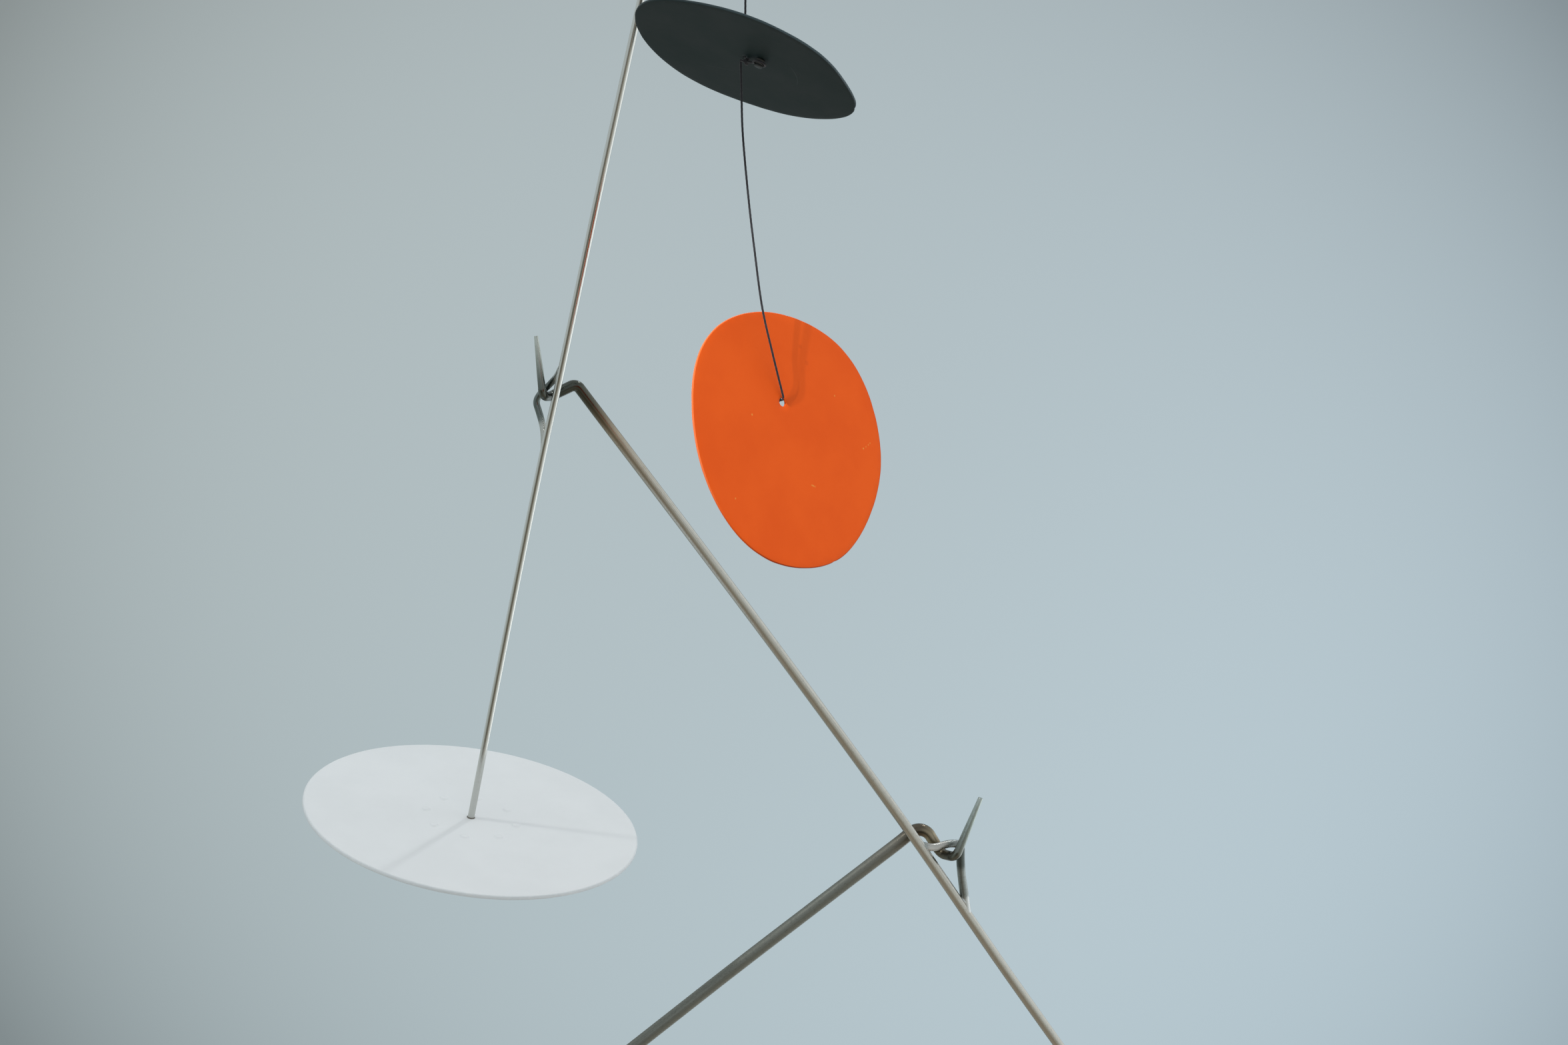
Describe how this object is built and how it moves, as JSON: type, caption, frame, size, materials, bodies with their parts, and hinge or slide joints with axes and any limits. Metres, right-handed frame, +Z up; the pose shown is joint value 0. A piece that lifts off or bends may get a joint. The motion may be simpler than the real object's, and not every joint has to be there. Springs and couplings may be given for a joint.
{
  "type": "hanging mobile sculpture",
  "caption": "Hanging mobile of round metal arms linked by hooks and welded eyes, with thin painted metal discs and plain counterweight discs.",
  "frame": {"origin": "centre of the ceiling plate's top face, where it meets the ceiling", "axes": "+Z up, out of the plate's top face; +X along the lower arm's run seen from above, towards its raised end; +Y to the back"},
  "size_m": [1.2788, 0.5809, 1.3863],
  "materials": {
    "dark_steel": "heat-tinted and brushed",
    "bright_steel": "bright, lightly polished",
    "white_sheet": "matte white paint on aluminium sheet",
    "black_sheet": "satin black paint on aluminium sheet",
    "orange_sheet": "satin orange paint on aluminium sheet",
    "black_weight": "satin black paint on steel plate",
    "black_cord": "fine black cord"
  },
  "bodies": {
    "root": {"ceiling_plate": "dark_steel", "ceiling_rod": "dark_steel", "lower_arm": "dark_steel", "lower_arm_eye": "dark_steel", "lower_weight": "black_weight", "middle_arm": "dark_steel", "middle_arm_eye": "dark_steel", "middle_weight": "black_weight", "upper_arm": "bright_steel", "upper_arm_eye": "bright_steel", "white_disc": "white_sheet", "black_disc": "black_sheet", "disc_rivet": "dark_steel", "orange_disc": "orange_sheet", "cord_top_loop": "black_cord", "cord_upper": "black_cord", "cord_middle_knot": "black_cord", "cord_lower": "black_cord", "cord_end_knot": "black_cord"}
  },
  "joints": []
}
